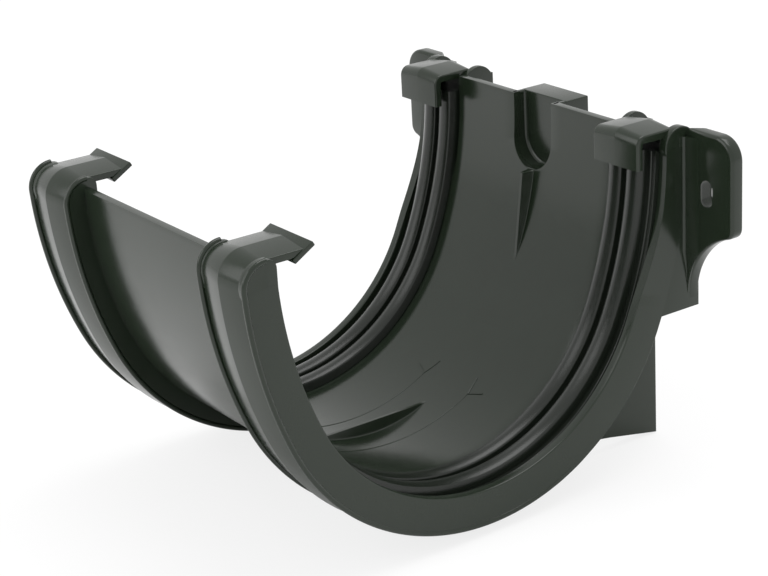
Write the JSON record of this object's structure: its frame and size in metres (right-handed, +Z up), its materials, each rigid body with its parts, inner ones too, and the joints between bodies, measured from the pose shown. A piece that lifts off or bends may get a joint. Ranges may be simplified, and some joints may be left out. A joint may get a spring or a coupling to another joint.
{
  "type": "gutter union",
  "caption": "Gutter union bracket: a short half-round trough between sealed socket rings with snap clips, rear hooks and fixing ears for a fascia.",
  "frame": {"origin": "on the fascia plane, midway between the centres of the fixing slots", "axes": "+X along the gutter run, +Y into the fascia, +Z up"},
  "size_m": [0.138, 0.1399, 0.0938],
  "materials": {
    "moulding": "semi-gloss anthracite",
    "seal_rubber": "satin black"
  },
  "bodies": {
    "root": {"union_body": "moulding", "left_seal": "seal_rubber", "right_seal": "seal_rubber"}
  },
  "joints": []
}
